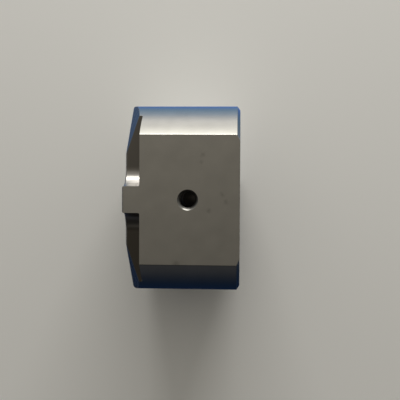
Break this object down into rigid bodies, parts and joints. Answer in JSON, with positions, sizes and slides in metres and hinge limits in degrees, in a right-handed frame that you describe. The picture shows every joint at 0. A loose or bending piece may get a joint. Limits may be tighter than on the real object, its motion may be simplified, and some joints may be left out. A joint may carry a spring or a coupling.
{
  "type": "plain bearing sleeve",
  "caption": "D-shaped plain bearing sleeve: shaft bore, locating flat that meets its mating sleeve, countersunk oil hole, and relief pockets beside a narrow land at the bevelled end.",
  "frame": {"origin": "on the shaft bore's axis, half way between the end faces", "axes": "+X along the bore, towards the plain end; +Y across the locating flat; +Z out of the locating flat"},
  "size_m": [0.0296, 0.05, 0.044],
  "materials": {
    "ground_steel": "fine ground steel, turned on the round sides and milled in the pockets"
  },
  "bodies": {
    "root": {"bearing_sleeve": "ground_steel"}
  },
  "joints": []
}
